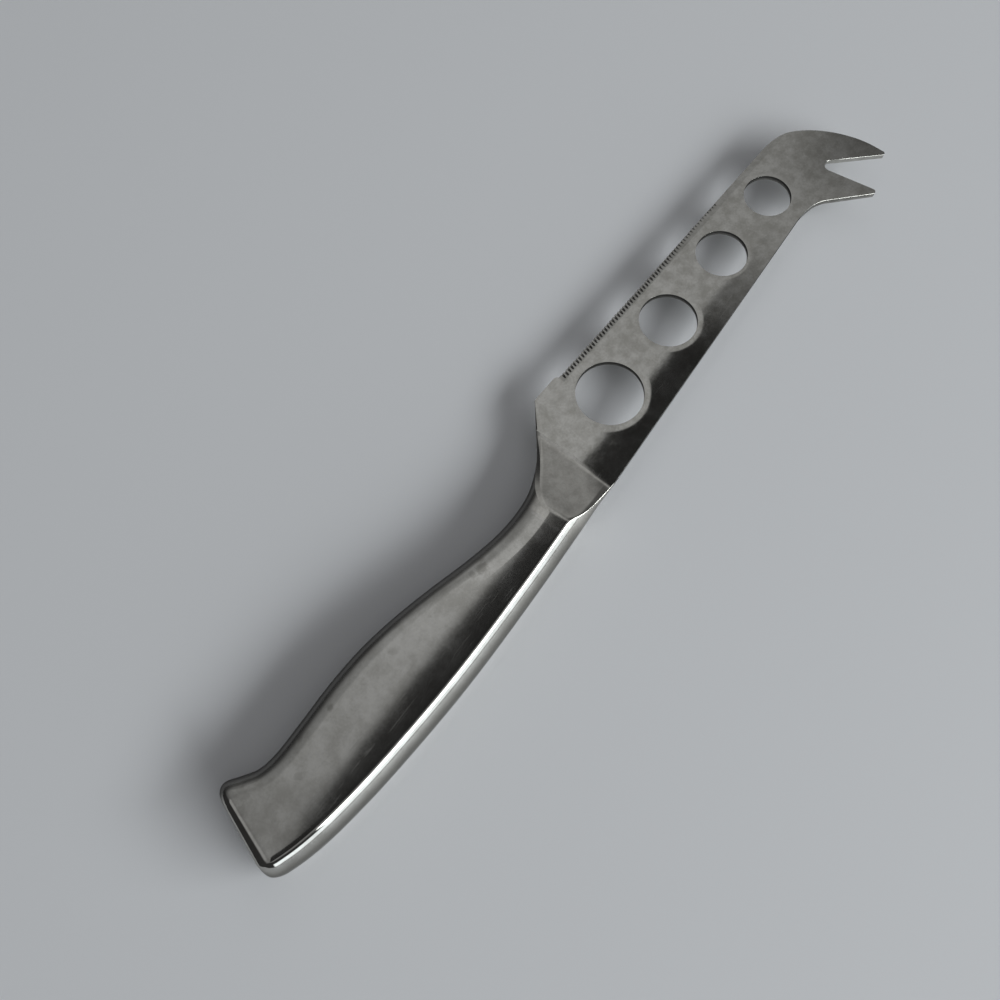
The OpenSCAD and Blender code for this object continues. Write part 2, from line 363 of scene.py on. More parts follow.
heelCorner = Vector((bladeHigh.x - blade["length"] * mm, bladeHigh.y, (bladeLow.z + bladeHigh.z) / 2))


# A point of the knife's own frame, in millimetres from the heel corner, in the model's frame
def place(x, y, z=0):
    return heelCorner + Vector((x, y, z)) * mm


def bezier(p, t):
    s = 1 - t
    return p[0] * s**3 + p[1] * (3 * t * s * s) + p[2] * (3 * t * t * s) + p[3] * t**3


def curve(points, count, first=0):
    ends = [Vector(p) for p in points]
    return [bezier(ends, i / count) for i in range(first, count + 1)]


def arc(centre, radius, start, end, count):
    angles = [math.radians(start + (end - start) * i / count) for i in range(count + 1)]
    return [Vector((centre[0] + radius * math.cos(a), centre[1] + radius * math.sin(a))) for a in angles]


# Merges points nearer than a distance, drops edges under a length, and smooths all but the sharp edges
def cleanMesh(name, mesh, sharp, near, short, turn=False):
    work = bmesh.new()
    work.from_mesh(mesh)
    bmesh.ops.remove_doubles(work, verts=work.verts, dist=near)
    bmesh.ops.dissolve_degenerate(work, edges=work.edges, dist=short)
    if turn:
        bmesh.ops.recalc_face_normals(work, faces=work.faces)
    openEdges = sum(not e.is_manifold for e in work.edges)
    work.to_mesh(mesh)
    work.free()
    mesh.shade_smooth()
    mesh.set_sharp_from_angle(angle=math.radians(sharp))
    print(name + ":", len(mesh.polygons), "faces,", openEdges, "open edges")


def closedPiece(name, points, faces, material, sharp=40):
    mesh = bpy.data.meshes.new(name)
    mesh.from_pydata([tuple(p) for p in points], [], faces)
    cleanMesh(name, mesh, sharp, 2e-7, 1e-7, True)
    mesh.materials.append(material)
    piece = bpy.data.objects.new(name, mesh)
    bpy.context.scene.collection.objects.link(piece)
    return piece


def spineAt(x):
    return -blade["width"] + x * blade["spineRise"] / holePlaces()[3]


def holePlaces():
    span = blade["length"] - blade["lastHoleBack"] - blade["firstHole"]
    return [blade["firstHole"] + share * span for share in blade["holeShares"]]


toothStart = blade["plain"] + blade["step"] * 1.8
noseStart = blade["length"] - blade["nose"]
edgeSlope = blade["edgeFall"] / (noseStart - toothStart)
spineSlope = blade["spineRise"] / holePlaces()[3]


def edgeAt(x):
    return -blade["step"] - (x - toothStart) * edgeSlope


def bladeOutline():
    b = blade
    noseLength, drop = b["nose"], b["prongDrop"]
    radius = b["holeRadii"][3]
    forkX = holePlaces()[3] + radius / 3
    forkY = spineAt(forkX)
    edgeY = edgeAt(noseStart)
    back, down = b["noseMiddle"]
    noseMid = Vector((b["length"] - noseLength * back, -drop * down))
    heel = curve([(b["plain"], -b["step"] / 4), (b["plain"] + b["step"] / 2, -b["step"] / 3),
                  (toothStart - b["step"], -b["step"]), (toothStart, -b["step"])], 14)
    noseTop = curve([(noseStart, edgeY), (noseStart + noseLength * 0.37, edgeY - noseLength * 0.02),
                     noseMid + Vector((-noseLength * 0.12, noseLength * 0.13)), noseMid], 30)
    noseFront = curve([noseMid, noseMid + Vector((noseLength * 0.19, -noseLength * 0.21)),
                       (b["length"], -drop * 0.67), (b["length"], -drop * 0.9)], 40, 1)
    tip = b["tipRadius"]
    upperTip = arc((b["length"] - tip, tip - drop), tip, 0, -140, 10)
    notch = arc((b["length"] - b["notchBack"], -b["notchDepth"]), b["notchRadius"], 45, 190, 24)
    blunt = tip * 1.4
    lowerTip = arc((b["length"] - b["tipGap"] - blunt, blunt - b["lowerTip"]), blunt, -10, -135, 12)
    forkBack = curve([(forkX + radius * 0.92, forkY - radius * 0.45),
                      (forkX + radius * 0.65, forkY - radius * 0.21),
                      (forkX + radius * 0.2, forkY - radius * 0.05),
                      (forkX - radius * 0.5, spineAt(forkX - radius * 0.5))], 20)
    count = b["edgeSteps"]
    stations = [toothStart + i * (noseStart - toothStart) / count for i in range(1, count)]
    edge = [Vector((x, edgeAt(x))) for x in stations]
    start = [Vector((-b["root"], -b["heelFall"])), Vector((-b["step"] / 2, -b["step"] * 0.4)),
             Vector((-b["step"] * 0.15, -b["step"] * 0.1)), Vector((b["step"] / 2, 0))]
    end = [Vector((-b["root"], spineAt(-b["root"]))), Vector((-b["root"], -b["heelFall"] - 0.05))]
    return start + heel + edge + noseTop + noseFront + upperTip + notch + lowerTip + forkBack + end


# Width of the small bevel on the outline's rim: wider along the heel's slope and on the fork
def rimBevelAt(p):
    if p.x < 0 and p.y > -blade["heelFall"] - 0.01:
        return blade["rimBevel"] - p.x / blade["root"] * blade["heelBevel"]
    fromX, belowY = blade["forkBevelFrom"]
    onFork = fromX < p.x < blade["forkBevelTo"] and p.y < belowY
    return blade["forkBevel"] if onFork else blade["rimBevel"]


# The same loop, moved inwards (a hole's loop outwards) by small distances
def insetLoop(loop, distances):
    moved = []
    for i, point in enumerate(loop):
        before = (point - loop[i - 1]).normalized()
        after = (loop[(i + 1) % len(loop)] - point).normalized()
        side = Vector((before.y + after.y, -before.x - after.x)).normalized()
        stretch = max(0.5, side.dot(Vector((after.y, -after.x))))
        moved.append(point + side * (distances[i] / stretch))
    return moved


def bladePlate(material):
    half = bladeThickness / 2
    sides = blade["holeSides"]
    holes = [arc((x, -blade["holeDepth"]), r, 0, 360 - 360 / sides, sides - 1)
             for x, r in zip(holePlaces(), blade["holeRadii"])]
    points = []
    faces = []
    flat = []
    upper = []
    lower = []
    for k, loop in enumerate([bladeOutline()] + holes):
        bevels = [blade["holeBevel"] if k else rimBevelAt(p) for p in loop]
        inner = insetLoop(loop, bevels)
        base = len(points)
        count = len(loop)
        points += [place(p.x, p.y, half) for p in inner]
        points += [place(p.x, p.y, half - d) for p, d in zip(loop, bevels)]
        points += [place(p.x, p.y, d - half) for p, d in zip(loop, bevels)]
        points += [place(p.x, p.y, -half) for p in inner]
        for r in range(3):
            for i in range(count):
                a = base + r * count
                j = (i + 1) % count
                faces.append((a + i, a + j, a + count + j, a + count + i))
        flat.append([Vector((p.x, p.y, 0)) for p in inner])
        upper += [base + i for i in range(count)]
        lower += [base + 3 * count + i for i in range(count)]
    for a, b, c in tessellate_polygon(flat):
        faces.append((upper[a], upper[b], upper[c]))
        faces.append((lower[c], lower[b], lower[a]))
    return closedPiece("bladePlate", points, faces, material, blade["sharp"])


# Grinds the two bevels and the upper one's saw grooves. It works along the edge: x runs to the
# tip from the first tooth, y points out of the blade and z is 0 halfway through it.
def sawTree(material):
    tree = bpy.data.node_groups.new("sawEdge", "GeometryNodeTree")
    sockets = {
        "Geometry": ("Geometry",),
        "Float": ("Pitch", "Groove Radius", "Groove Length", "Groove Middle", "Groove Drop", "Groove Tilt",
                  "Groove Slant", "Jitter", "Fade From", "Fade To", "Fade Lift", "Bevel Width", "Edge Left",
                  "Thickness", "Edge Length", "Lead"),
        "Int": ("Count", "Sides", "Seed"),
        "Vector": ("Place", "Turn"),
    }
    for kind, names in sockets.items():
        for name in names:
            tree.interface.new_socket(name, in_out="INPUT", socket_type="NodeSocket" + kind)
    tree.interface.new_socket("Geometry", in_out="OUTPUT", socket_type="NodeSocketGeometry")
    source = tree.nodes.new("NodeGroupInput")
    given = {socket.name: Signal(tree, socket) for socket in source.outputs if socket.name}
    start = Signal(tree)

    rise = (given["Thickness"] - given["Edge Left"]) / 2
    slope = start.math("ARCTANGENT", rise / given["Bevel Width"])
    bevelLength = given["Edge Length"] + given["Lead"] * 2
    wide, tall = (size * mm for size in blade["wheelSize"])
    inside = blade["wheelInside"] * mm
    wheel = start.put("GeometryNodeMeshCube", None, {"Size": start.vector(bevelLength, wide, tall)})
    wheel = start.put("GeometryNodeTransform", None, {
        "Geometry": wheel,
        "Translation": start.vector(bevelLength / 2 - given["Lead"], wide / 2 - inside, tall / 2)})
    wheel = start.put("GeometryNodeTransform", None, {
        "Geometry": wheel, "Rotation": start.vector(slope * -1, 0, 0),
        "Translation": start.vector(0, given["Bevel Width"] * -1, given["Thickness"] / 2)})

    file = start.put("GeometryNodeMeshCylinder", None, {
        "Vertices": given["Sides"], "Radius": given["Groove Radius"], "Depth": given["Groove Length"]})
    upright = math.pi / 2 - slope - given["Groove Tilt"]
    file = start.put("GeometryNodeTransform", None, {
        "Geometry": file, "Rotation": start.vector(upright, 0, given["Groove Slant"] * -1)})
    number = start.put("GeometryNodeInputIndex")
    along = (number + 0.5) * given["Pitch"]
    worn = start.put("ShaderNodeMapRange", {"interpolation_type": "SMOOTHSTEP"}, {
        "Value": along, "From Min": given["Fade From"], "From Max": given["Fade To"]})
    shake = start.put("FunctionNodeRandomValue", {"data_type": "FLOAT_VECTOR"}, {
        0: (-1, -1, -1), 1: (1, 1, 1), "ID": number, "Seed": given["Seed"]})
    middle = given["Bevel Width"] * given["Groove Middle"]
    height = given["Edge Left"] / 2 + middle * rise / given["Bevel Width"]
    height = height - given["Groove Drop"] + worn * given["Fade Lift"]
    height = height + shake.part(2) * given["Jitter"] * 0.5
    inward = shake.part(1) * given["Jitter"] * 2 - middle
    spot = start.vector(along + shake.part(0) * given["Jitter"], inward, height)
    line = start.put("GeometryNodeMeshLine", None, {"Count": given["Count"]})
    line = start.put("GeometryNodeSetPosition", None, {"Geometry": line, "Position": spot})
    grooves = start.put("GeometryNodeInstanceOnPoints", None, {"Points": line, "Instance": file})
    grooves = start.put("GeometryNodeRealizeInstances", None, {"Geometry": grooves})

    # The cuts are made a thousand times larger, where they come out cleaner
    larger = {"Scale": (1 / mm, 1 / mm, 1 / mm)}
    result = start.put("GeometryNodeTransform", None, {"Geometry": given["Geometry"], **larger})
    back = start.put("GeometryNodeTransform", None, {"Geometry": wheel, "Scale": (1, 1, -1)})
    back = start.put("GeometryNodeFlipFaces", None, {"Mesh": back})
    for tool in (wheel, back, grooves):
        tool = start.put("GeometryNodeTransform", None, {
            "Geometry": tool, "Translation": given["Place"], "Rotation": given["Turn"]})
        tool = start.put("GeometryNodeTransform", None, {"Geometry": tool, **larger})
        result = start.put("GeometryNodeMeshBoolean", {"operation": "DIFFERENCE", "solver": "EXACT"}, {
            "Mesh 1": result, "Mesh 2": tool})
    result = start.put("GeometryNodeTransform", None, {"Geometry": result, "Scale": (mm, mm, mm)})
    result = start.put("GeometryNodeRealizeInstances", None, {"Geometry": result})
    result = start.put("GeometryNodeSetMaterial", None, {"Geometry": result, "Material": material})
    output = tree.nodes.new("NodeGroupOutput")
    tree.links.new(result.socket, output.inputs["Geometry"])
    return tree


def setInputs(modifier, values):
    for item in modifier.node_group.interface.items_tree:
        if item.in_out == "INPUT" and item.name in values:
            modifier[item.identifier] = values[item.name]


def sawEdge(piece, material):
    b = blade
    modifier = piece.modifiers.new("sawEdge", "NODES")
    modifier.node_group = sawTree(material)
    setInputs(modifier, {
        "Pitch": b["toothPitch"] * mm,
        "Count": b["toothCount"],
        "Sides": b["grooveSides"],
        "Groove Radius": b["grooveRadius"] * mm,
        "Groove Length": b["grooveLength"] * mm,
        "Groove Middle": b["grooveMiddle"],
        "Groove Drop": b["grooveDrop"] * mm,
        "Groove Tilt": math.radians(b["grooveTilt"]),
        "Groove Slant": math.radians(b["grooveSlant"]),
        "Jitter": b["grooveJitter"] * mm,
        "Fade From": b["fadeFrom"] * mm,
        "Fade To": b["fadeTo"] * mm,
        "Fade Lift": b["fadeLift"] * mm,
        "Bevel Width": b["bevel"] * mm,
        "Edge Left": b["edgeLeft"] * mm,
        "Thickness": bladeThickness * mm,
        "Edge Length": (noseStart - toothStart + b["wheelPast"]) * mm,
        "Lead": b["step"] * mm,
        "Seed": b["seed"],
        "Place": list(place(toothStart, -b["step"])),
        "Turn": [0, 0, -math.atan(edgeSlope)],
    })
    bpy.context.view_layer.update()
    evaluated = piece.evaluated_get(bpy.context.evaluated_depsgraph_get())
    mesh = bpy.data.meshes.new_from_object(evaluated)
    piece.modifiers.remove(modifier)
    piece.data = mesh
    cleanMesh("sawEdge", mesh, b["sawSharp"], 1e-6, 1e-6)
    return piece


# Handle: the sections from the butt to the blade's root, as in the source of the part
handle = {
    "length": 123.6,
    "depth": 30.25,
    "facet": 3.0,
    "belly": 6.0,
    "buttRadius": 2.6,
    "rimShare": 0.9,
    "wall": 1.0,
    "weld": 0.8,
    "weldCrown": 0.02,
    "ridgeRound": 0.3,
    # handles of the section's curves: up and in along the belly, out and down beside the ridge
    "bellyCurve": (0.62, 0.27),
    "facetCurve": (0.62, 0.42, 1.1),
    "facetPull": 0.7,  # how much the ridge gives way inside the wall
    "curveSteps": 80,
    "sectionPoints": (34, 16, 34),
    "rimSteps": 22,
    "shellSteps": 170,
    "buttSteps": 30,
    # points on the belly side and the spine side of each section, from the butt to the bolster,
    # as shares of the length and the depth, and the half thickness there
    "sections": (
        ((0.941, 0.020), (1.000, 0.745)), ((0.919, 0.040), (0.967, 0.800)),
        ((0.894, 0.110), (0.930, 0.848)), ((0.866, 0.174), (0.886, 0.888)),
        ((0.825, 0.196), (0.833, 0.920)), ((0.761, 0.190), (0.761, 0.952)),
        ((0.680, 0.178), (0.680, 0.975)), ((0.599, 0.190), (0.599, 0.992)),
        ((0.518, 0.237), (0.518, 1.000)), ((0.437, 0.310), (0.437, 0.998)),
        ((0.356, 0.396), (0.356, 0.990)), ((0.283, 0.456), (0.283, 0.980)),
        ((0.227, 0.473), (0.227, 0.969)), ((0.178, 0.456), (0.178, 0.959)),
        ((0.137, 0.403), (0.137, 0.950)), ((0.097, 0.317), (0.097, 0.940)),
    ),
    "crown": (0.97, 0.98, 0.99, 1, 1, 1, 1, 1, 0.99, 0.97, 0.94, 0.90, 0.87, 0.85, 0.84, 0.83, 0.82),
}
handleThickness = (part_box("shell_upper")[1].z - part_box("shell_lower")[0].z) / mm
bolster = {
    "neck": 25.0,
    "scoop": 54.0,
    "scoopLead": 9.5,
    "scoopBlend": 0.7,  # how softly the scoop runs into the flat face
    "rootBlend": 0.16,  # and into the blade
    "stub": 8.0,
    "stubGap": 0.15,
    "bellyRound": 1.1,  # width of the chamfer between scoop and belly
    "bellyReach": 0.85,  # how far it reaches down the belly, as a share of that
    "spineRound": 0.28,
    "spineRoundMost": 0.45,  # as a share of the wall that is left
    "roundFrom": 0.3,  # depth of the cut at which the rounding is full
    "chamferSteps": (0.1, 0.4, 0.7, 0.93),
    "roundSteps": (0.2, 0.4, 0.6, 0.8),
    "bodySteps": 110,
    "stubSteps": 12,
    "weldSteps": 16,
    "neckSteps": 4,
}
seam = handle["weld"] / 2
uncut = 1e3  # a scoop this high leaves the handle whole


def outlineLine(side):
    shares = [section[side] for section in handle["sections"]]
    rows = [Vector((-along * handle["length"], -down * handle["depth"])) for along, down in shares]
    last = (-blade["heelFall"], spineAt(-blade["root"]))[side]
    return rows + [Vector((-blade["root"], last))]


bellyLine = outlineLine(0)
spineLine = outlineLine(1)
frontT = len(bellyLine) - 1
halvings = 40


def spline(points, t):
    i = min(int(t), len(points) - 2)
    f = t - i
    a, b, c, d = [points[max(0, min(len(points) - 1, i + k))] for k in (-1, 0, 1, 2)]
    return b + (c - a) * (f / 2) + (a * 2 - b * 5 + c * 4 - d) * (f * f / 2) \
        + (b * 3 - a - c * 3 + d) * (f**3 / 2)


def rim(t):
    share = handle["rimShare"]
    return handle["buttRadius"] * (1 - math.sin(math.acos(1 - t / share))) if t < share else 0


# Past the fifth section x only grows, so halving finds the place
def stationAt(x):
    low, high = 5, frontT
    for _ in range(halvings):
        middle = (low + high) / 2
        low, high = (middle, high) if spline(spineLine, middle).x < x else (low, middle)
    return low


def paramAt(p, height):
    low, high = 0, 1
    falling = p[3].y < p[0].y
    for _ in range(halvings):
        middle = (low + high) / 2
        below = bezier(p, middle).y < height
        low, high = (middle, high) if below != falling else (low, middle)
    return low


# Even points along a stretch of a curve, which stop short of its ends for the corners
def stretch(path, count, skipStart, skipEnd):
    lengths = [0]
    for a, b in zip(path, path[1:]):
        lengths.append(lengths[-1] + (b - a).length)
    total = lengths[-1]
    points = []
    k = 0
    for i in range(count):
        goal = skipStart + (total - skipStart - skipEnd) * i / (count - 1)
        while k < len(path) - 2 and lengths[k + 1] < goal:
            k += 1
        span = lengths[k + 1] - lengths[k]
        share = (goal - lengths[k]) / span if span > 1e-9 else 0
        points.append(path[k] + (path[k + 1] - path[k]) * share)
    return points


def pathLength(path):
    return sum((b - a).length for a, b in zip(path, path[1:]))


# The upper half section of the handle: the belly's rounding, the flat face and the facet,
# across its width w and up to its height h. A scoop cuts it flat at the height cut.
def halfSection(w, h, inset, cut):
    facet = min(handle["facet"], w / 4)
    belly = min(handle["belly"], w / 2.2)
    top = h - inset
    ridge = Vector((w - facet - inset * handle["facetPull"], top))
    up, over = handle["bellyCurve"]
    a = [Vector((inset, seam)), Vector((inset, h * up)), Vector((belly * over + inset, top)),
         Vector((belly + inset, top))]
    out, down, foot = handle["facetCurve"]
    c = [ridge, ridge + Vector((facet * out, -facet * down)),
         Vector((w - inset, max(seam, top - facet * foot))), Vector((w - inset, seam))]
    # the cut runs softly into the face
    blend = bolster["scoopBlend"]
    overlap = max(0, blend - abs(cut - top)) / blend
    level = min(cut, top) - overlap**2 * blend / 4
    cutA = paramAt(a, level) if level < top else 1
    cutC = paramAt(c, level) if level < top else 0
    dense = handle["curveSteps"]
    pathA = [bezier(a, cutA * i / dense) for i in range(dense + 1)]
    pathC = [bezier(c, cutC + (1 - cutC) * i / dense) for i in range(dense + 1)]
    flat = [pathA[-1] + (pathC[0] - pathA[-1]) * (i / dense) for i in range(dense + 1)]
    paths = [pathA, flat, pathC]
    lengths = [pathLength(p) for p in paths]
    share = min(1, max(0, (top - level) / bolster["roundFrom"]))
    spineRound = handle["ridgeRound"] + (bolster["spineRound"] - handle["ridgeRound"]) * share
    spineRound = min(spineRound, lengths[2] * bolster["spineRoundMost"])
    flank = bolster["bellyRound"] * (1 - math.exp(-lengths[0] / bolster["bellyRound"]))
    skips = ((0, flank * bolster["bellyReach"]), (flank, spineRound), (spineRound, 0))
    counts = handle["sectionPoints"]
    points = [stretch(path, count, *skip) for path, count, skip in zip(paths, counts, skips)]
    # a flat chamfer on the belly side, a round edge on the spine side
    first, last = points[0][-1], points[1][0]
    chamfer = [first + (last - first) * s for s in bolster["chamferSteps"]]
    first, corner, last = points[1][-1], paths[1][-1], points[2][0]
    rounding = [first * (1 - s)**2 + corner * (2 * s * (1 - s)) + last * s * s
                for s in bolster["roundSteps"]]
    return points[0] + chamfer + points[1] + rounding + points[2]


def onLine(t, points):
    p, q = spline(bellyLine, t), spline(spineLine, t)
    across = (q - p).normalized()
    return [place(p.x + across.x * v.x, p.y + across.y * v.x, v.y) for v in points]


def half(t, wall, cut=uncut):
    width = (spline(spineLine, t) - spline(bellyLine, t)).length
    height = min(1, spline(handle["crown"], t)) * handleThickness / 2
    return halfSection(width, height, wall + rim(t), cut)


def flipped(points):
    return [Vector((p.x, -p.y)) for p in reversed(points)]


def steps(start, end, count):
    return [start + (end - start) * i / count for i in range(count + 1)]


shellEnd = stationAt(-bolster["neck"] - seam)
bolsterStart = stationAt(-bolster["neck"] + seam)
bolsterEnd = stationAt(-blade["root"] - handle["weld"])
stubEnd = stationAt(-bolster["neck"] - bolster["stub"])
wallT = handle["wall"] / (bellyLine[1] - bellyLine[0]).length
rimAngles = steps(0, 90, handle["rimSteps"])
rimStations = [handle["rimShare"] * (1 - math.cos(math.radians(angle))) for angle in rimAngles]
shellStations = sorted(rimStations + [wallT, wallT * 1.01]) + steps(1, shellEnd, handle["shellSteps"])


def loftFaces(ringCount, n):
    faces = []
    for j in range(ringCount - 1):
        for i in range(n):
            k = (i + 1) % n
            faces.append((j * n + i, j * n + k, (j + 1) * n + k, (j + 1) * n + i))
    return faces


def handleShell(name, side, material):
    rings = []
    for t in shellStations:
        outer = half(t, 0)
        inner = half(t, handle["wall"])
        if t <= wallT:
            inner = [Vector((p.x, seam)) for p in inner]
        ring = outer + list(reversed(inner))
        rings.append(onLine(t, [Vector((p.x, p.y * side)) for p in ring]))
    n = len(rings[0])
    faces = loftFaces(len(rings), n)
    last = (len(rings) - 1) * n
    for i in range(n // 2 - 1):
        faces.append((i + 1, i, n - 1 - i, n - 2 - i))
        faces.append((last + i, last + i + 1, last + n - 2 - i, last + n - 1 - i))
    return closedPiece(name, [p for ring in rings for p in ring], faces, material)


# Height of the scoop's floor above the mid-plane
def scoopHeight(x):
    lead = math.radians(bolster["scoopLead"])
    radius = bolster["scoop"]
    centreX = -blade["root"] + radius * math.sin(lead)
    centreZ = bladeThickness / 2 + radius * math.cos(lead)
    flat = bladeThickness / 2
    blend = bolster["rootBlend"]
    height = centreZ - math.sqrt(radius**2 - (x - centreX)**2) - blend
    return max(height, flat) + max(0, blend - abs(height - flat))**2 / (4 * blend)


def fullRing(t, wall=0, cut=uncut):
    upper = half(t, wall, cut)
    return onLine(t, upper + flipped(upper))


def cappedLoft(name, rings, material, sharp=40):
    n = len(rings[0])
    faces = loftFaces(len(rings), n)
    faces.append(tuple(reversed(range(n))))
    faces.append(tuple((len(rings) - 1) * n + i for i in range(n)))
    return closedPiece(name, [p for ring in rings for p in ring], faces, material, sharp)


def bolsterBody(material):
    inset = handle["wall"] + bolster["stubGap"]
    rings = [fullRing(t, inset) for t in steps(stubEnd, bolsterStart, bolster["stubSteps"])]
    for t in steps(bolsterStart, bolsterEnd, bolster["bodySteps"]):
        rings.append(fullRing(t, 0, scoopHeight(spline(spineLine, t).x)))
    return cappedLoft("bolsterBody", rings, material, 60)


def bladeWeld(material):
    rings = []
    for t in steps(bolsterEnd, frontT, bolster["weldSteps"]):
        rings.append(fullRing(t, 0, scoopHeight(spline(spineLine, t).x)))
    return cappedLoft("bladeWeld", rings, material, 60)


def neckWeld(material):
    rings = []
    for t in steps(shellEnd, bolsterStart, bolster["neckSteps"]):
        rings.append((fullRing(t), fullRing(t, handle["wall"])))
    loops = [r[0] for r in rings] + [r[1] for r in reversed(rings)]
    n = len(loops[0])
    faces = loftFaces(len(loops), n)
    last = (len(loops) - 1) * n
    for i in range(n):
        k = (i + 1) % n
        faces.append((last + i, last + k, k, i))
    return closedPiece("neckWeld", [p for loop in loops for p in loop], faces, material)


# A weld seam: pairs of an outer and an inner point on the mid-plane, with a low crown outside
def seamWeld(name, pairs, material):
    crown = handle["weldCrown"]
    rings = []
    for outer, inner in pairs:
        out = (outer - inner).normalized() if (outer - inner).length > 1e-6 else Vector((0, 0))
        ring = [(inner, -seam)]
        for s in (-1, -0.5, 0, 0.5, 1):
            ring.append((outer + out * (crown * (1 - s * s)), seam * s))
        ring.append((inner, seam))
        rings.append([place(p.x, p.y, z) for p, z in ring])
    return cappedLoft(name, rings, material)


def seamPoint(t, wall, side):
    p, q = spline(bellyLine, t), spline(spineLine, t)
    across = (q - p).normalized()
    inset = wall + rim(t)
    return p + across * inset if side == 0 else q - across * inset


def sideWeld(name, side, material):
    stations = [t for t in shellStations if t >= 1]
    pairs = [(seamPoint(t, 0, side), seamPoint(t, handle["wall"], side)) for t in stations]
    return seamWeld(name, pairs, material)


def buttWeld(material):
    wall = handle["wall"]
    count = handle["buttSteps"]
    around = [t for t in shellStations if t <= 1]
    pairs = []
    for side in (0, 1):
        run = [(seamPoint(t, 0, side), seamPoint(max(t, wallT), wall, side)) for t in around]
        pairs += list(reversed(run)) if side == 0 else run
        if side == 0:
            a, b = seamPoint(0, 0, 0), seamPoint(0, 0, 1)
            c, d = seamPoint(wallT, wall, 0), seamPoint(wallT, wall, 1)
            pairs += [(a + (b - a) * s, c + (d - c) * s) for s in (i / count for i in range(1, count))]
    return seamWeld("buttWeld", pairs, material)


# Steel: one recipe for all the finishes, each with its own values. Lengths are in millimetres.
finish = {
    "grain": 0.6,
    "grainTone": 0.25,
    "grainRoughness": 0.02,
    "blotchShares": (0.7, 0.3),  # of the blotches, and of others four times as large
    "blotchRange": (0.28, 0.72),
    "smudgeRange": (0.42, 0.75),
    "smudgeStretch": (1.4, 1, 1),
    "smudgeTurn": 25,
    "scratchTurns": ((4, 1.3), (-38, 5.9), (72, 8.2)),  # directions in degrees, and places in the noise
    "scratchSize": 0.35,
    "scratchStretch": (28, 1, 1),
    "scratchRange": (0.66, 0.72),
    "scratchPatch": 7,  # scratches come in patches of this size
    "patchRange": (0.5, 0.62),
    "scratchTone": 0.35,
    "stainGrain": 1.6,
    "stainWobble": 1.6,  # how far a stain's edge wanders, as a share of its reach
    "stainCore": 0.35,
    "markRoughness": 0.05,
    "leastRoughness": 0.03,
    "edgeTint": (0.55, 0.55, 0.55, 1),
}
bladeSteel = {
    "dark": (0.40, 0.39, 0.357, 1),
    "light": (0.60, 0.59, 0.557, 1),
    "blotch": 2.6,
    "polish": 0.04,  # roughness where it is cleanest
    "smudge": 0.05,  # and how much rougher it is where it is most handled
    "smudgeSize": 9.0,
    "scratch": 0.5,
    "wave": 5.5e-6,  # height of the slow waves in the face, in metres
    "waveSize": 7.0,
    "ripple": 0.8e-6,
    "rippleSize": 1.3,
    "stains": (),
    "stainAndShadeTone": (0.3, 0.29, 0.265, 1),
    "cut": (0.08, 0.078, 0.073, 1),  # the punched walls of the holes, the spine and the fork: darker as rough cut steel and partly as painted shade; the gullets take it as painted shade
    "cutRoughness": 0.5,
    "wallShare": (0.49, 0.485),  # heights that count as wall, as shares of the thickness
    "wallRise": (-0.7, 0.3),  # the painted shade on a wall is darkest towards the upper face
    "wallDepth": 0.55,
    "spineReach": (0.05, 0.03),
    "spineEnd": (86, 84),
    "forkStart": (86, 88),
    "forkEnd": (103, 101),
    "forkBelow": (-16, -20),
    "forkDepth": 0.5,
    "holeReach": (0.04, 0.02),
    "lipWidth": (2.1, 1.7, 1.1, 0.6),  # where the punch pulled the face down round each hole
    "lipSlope": (0.03, 0.026, 0.018, 0.01),
    "gulletReach": (0.04, 0.2),  # depths below the bevel over which the painted shade in the gullets grows
    "gulletInside": (3.2, 3.0),
    "gulletAbove": (-0.05, 0.02),
    "gulletLead": 0.5,
    "gulletDepth": 0.8,
}
handleSteel = {
    "dark": (0.43, 0.42, 0.39, 1),
    "light": (0.60, 0.59, 0.56, 1),
    "blotch": 4.0,
    "polish": 0.05,
    "smudge": 0.03,
    "smudgeSize": 12.0,
    "scratch": 0.7,
    "wave": 2.0e-6,
    "waveSize": 9.0,
    "ripple": 0.25e-6,
    "rippleSize": 1.2,
    # place, reach and depth of each
    "stains": ((-43, -17, 1.9, 0.75), (-45.5, -16.3, 1.2, 0.5), (-41.3, -15.6, 1.1, 0.45),
               (-88, -10, 1.1, 0.6), (-97, -9, 0.9, 0.5), (-113, -7, 2.2, 0.4), (-116, -9, 1.6, 0.35),
               (-70, -13, 1.3, 0.3), (-103, -14, 1.2, 0.3)),
    # the tone of the real stains, which the painted shade towards the seam also takes
    "stainAndShadeTone": (0.3, 0.29, 0.265, 1),
    "seamShadeReach": (5.4, 2.6),  # heights over the mid-plane between which painted shade darkens the steel towards the seam, and it grows rougher
    "seamShadeStart": (-18, -24),
    "seamShadeDepth": 0.8,
    "seamRoughness": 0.12,
    "rimShadeTurn": (0.3, 0.65),  # the outward lean of the normal over which painted shade darkens the steel where it rounds over towards the belly
    "rimShadeDepth": 0.9,
    "rimShadeTone": (0.13, 0.125, 0.12, 1),
    "rimRoughness": 0.25,
}
bolsterSteel = dict(handleSteel, dark=(0.47, 0.455, 0.42, 1), light=(0.66, 0.645, 0.60, 1), blotch=2.6,
                    ripple=0.45e-6, stains=())
weldSteel = dict(handleSteel, dark=(0.44, 0.43, 0.40, 1), light=(0.6, 0.585, 0.555, 1), blotch=2.0,
                 polish=0.06, stains=())


# Knife coordinates in millimetres, from the heel corner
def knifeSpot(start):
    objectSpace = start.put("ShaderNodeTexCoord", output=3)
    return start.put("ShaderNodeMapping", None, {
        "Vector": objectSpace, "Scale": (1 / mm, 1 / mm, 1 / mm), "Location": heelCorner * (-1 / mm)})
